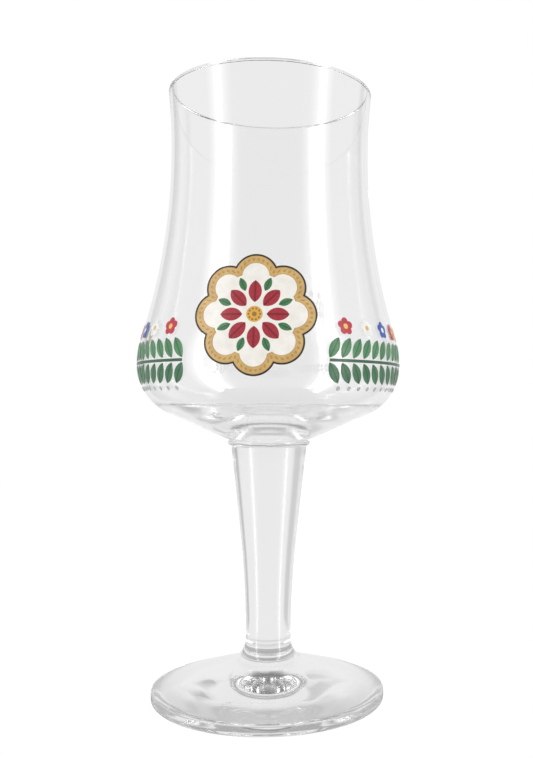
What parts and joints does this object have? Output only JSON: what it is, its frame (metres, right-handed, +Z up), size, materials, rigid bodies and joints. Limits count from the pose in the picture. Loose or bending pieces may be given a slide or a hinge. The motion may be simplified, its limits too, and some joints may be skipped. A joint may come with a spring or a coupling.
{
  "type": "tulip beer glass",
  "caption": "Footed tulip beer glass with a wide belly, a drawn-in waist, a beaded rim, a solid tapered stem, a sloping round foot and a coloured enamel decoration on the front.",
  "frame": {"origin": "on the axis of the glass, at the level of the flat ring that it stands on", "axes": "+Z up along the axis of the glass, -Y towards the viewer of the decoration, +X to that viewer's right"},
  "size_m": [0.0865, 0.0865, 0.2],
  "materials": {
    "clear_glass": "clear, fire-polished",
    "enamel_black": "fired gloss enamel",
    "enamel_gold": "fired gloss enamel",
    "enamel_white": "fired gloss enamel",
    "enamel_crimson": "fired gloss enamel",
    "enamel_green": "fired gloss enamel",
    "enamel_dark_green": "fired gloss enamel",
    "enamel_grey": "fired gloss enamel",
    "enamel_red": "fired gloss enamel",
    "enamel_blue": "fired gloss enamel",
    "enamel_yellow": "fired gloss enamel"
  },
  "bodies": {
    "root": {"bowl": "clear_glass", "stem": "clear_glass", "foot": "clear_glass", "medallion_outline": "enamel_black", "medallion_border": "enamel_gold", "medallion_field": "enamel_white", "medallion_petals": "enamel_crimson", "medallion_leaves": "enamel_green", "medallion_heart": "enamel_gold", "border_vine": "enamel_dark_green", "border_leaves_upper": "enamel_green", "border_leaves_lower": "enamel_dark_green", "border_dots": "enamel_grey", "florets_red": "enamel_red", "florets_blue": "enamel_blue", "florets_yellow": "enamel_yellow", "florets_white": "enamel_white"}
  },
  "joints": []
}
